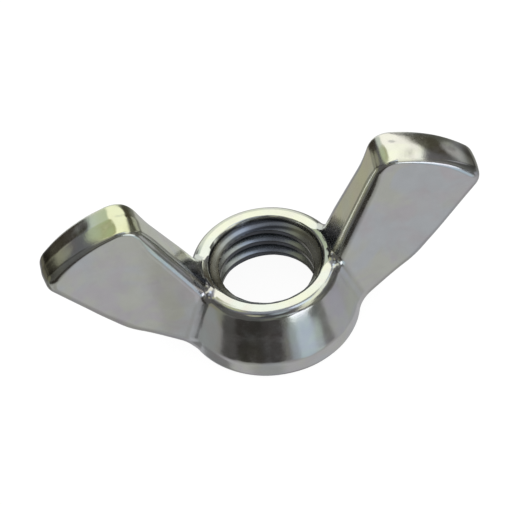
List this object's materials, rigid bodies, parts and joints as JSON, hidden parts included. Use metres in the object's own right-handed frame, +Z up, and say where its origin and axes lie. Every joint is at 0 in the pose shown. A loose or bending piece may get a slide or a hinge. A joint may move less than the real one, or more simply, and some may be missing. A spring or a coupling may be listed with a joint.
{
  "type": "wing nut",
  "caption": "Forged wing nut with a conical boss, a coarse metric internal thread and two upswept wings for tightening by hand.",
  "frame": {"origin": "on the thread axis, in the plane of the bearing face under the boss", "axes": "+X along the wings, +Y across them, +Z up the thread axis towards the wing tips"},
  "size_m": [0.0476, 0.019, 0.0211],
  "materials": {
    "zinc_plated_steel": "bright zinc plate over smooth forged steel, semi-gloss, with a faint yellow and blue passivation tint"
  },
  "bodies": {
    "root": {"wing_nut_body": "zinc_plated_steel"}
  },
  "joints": []
}
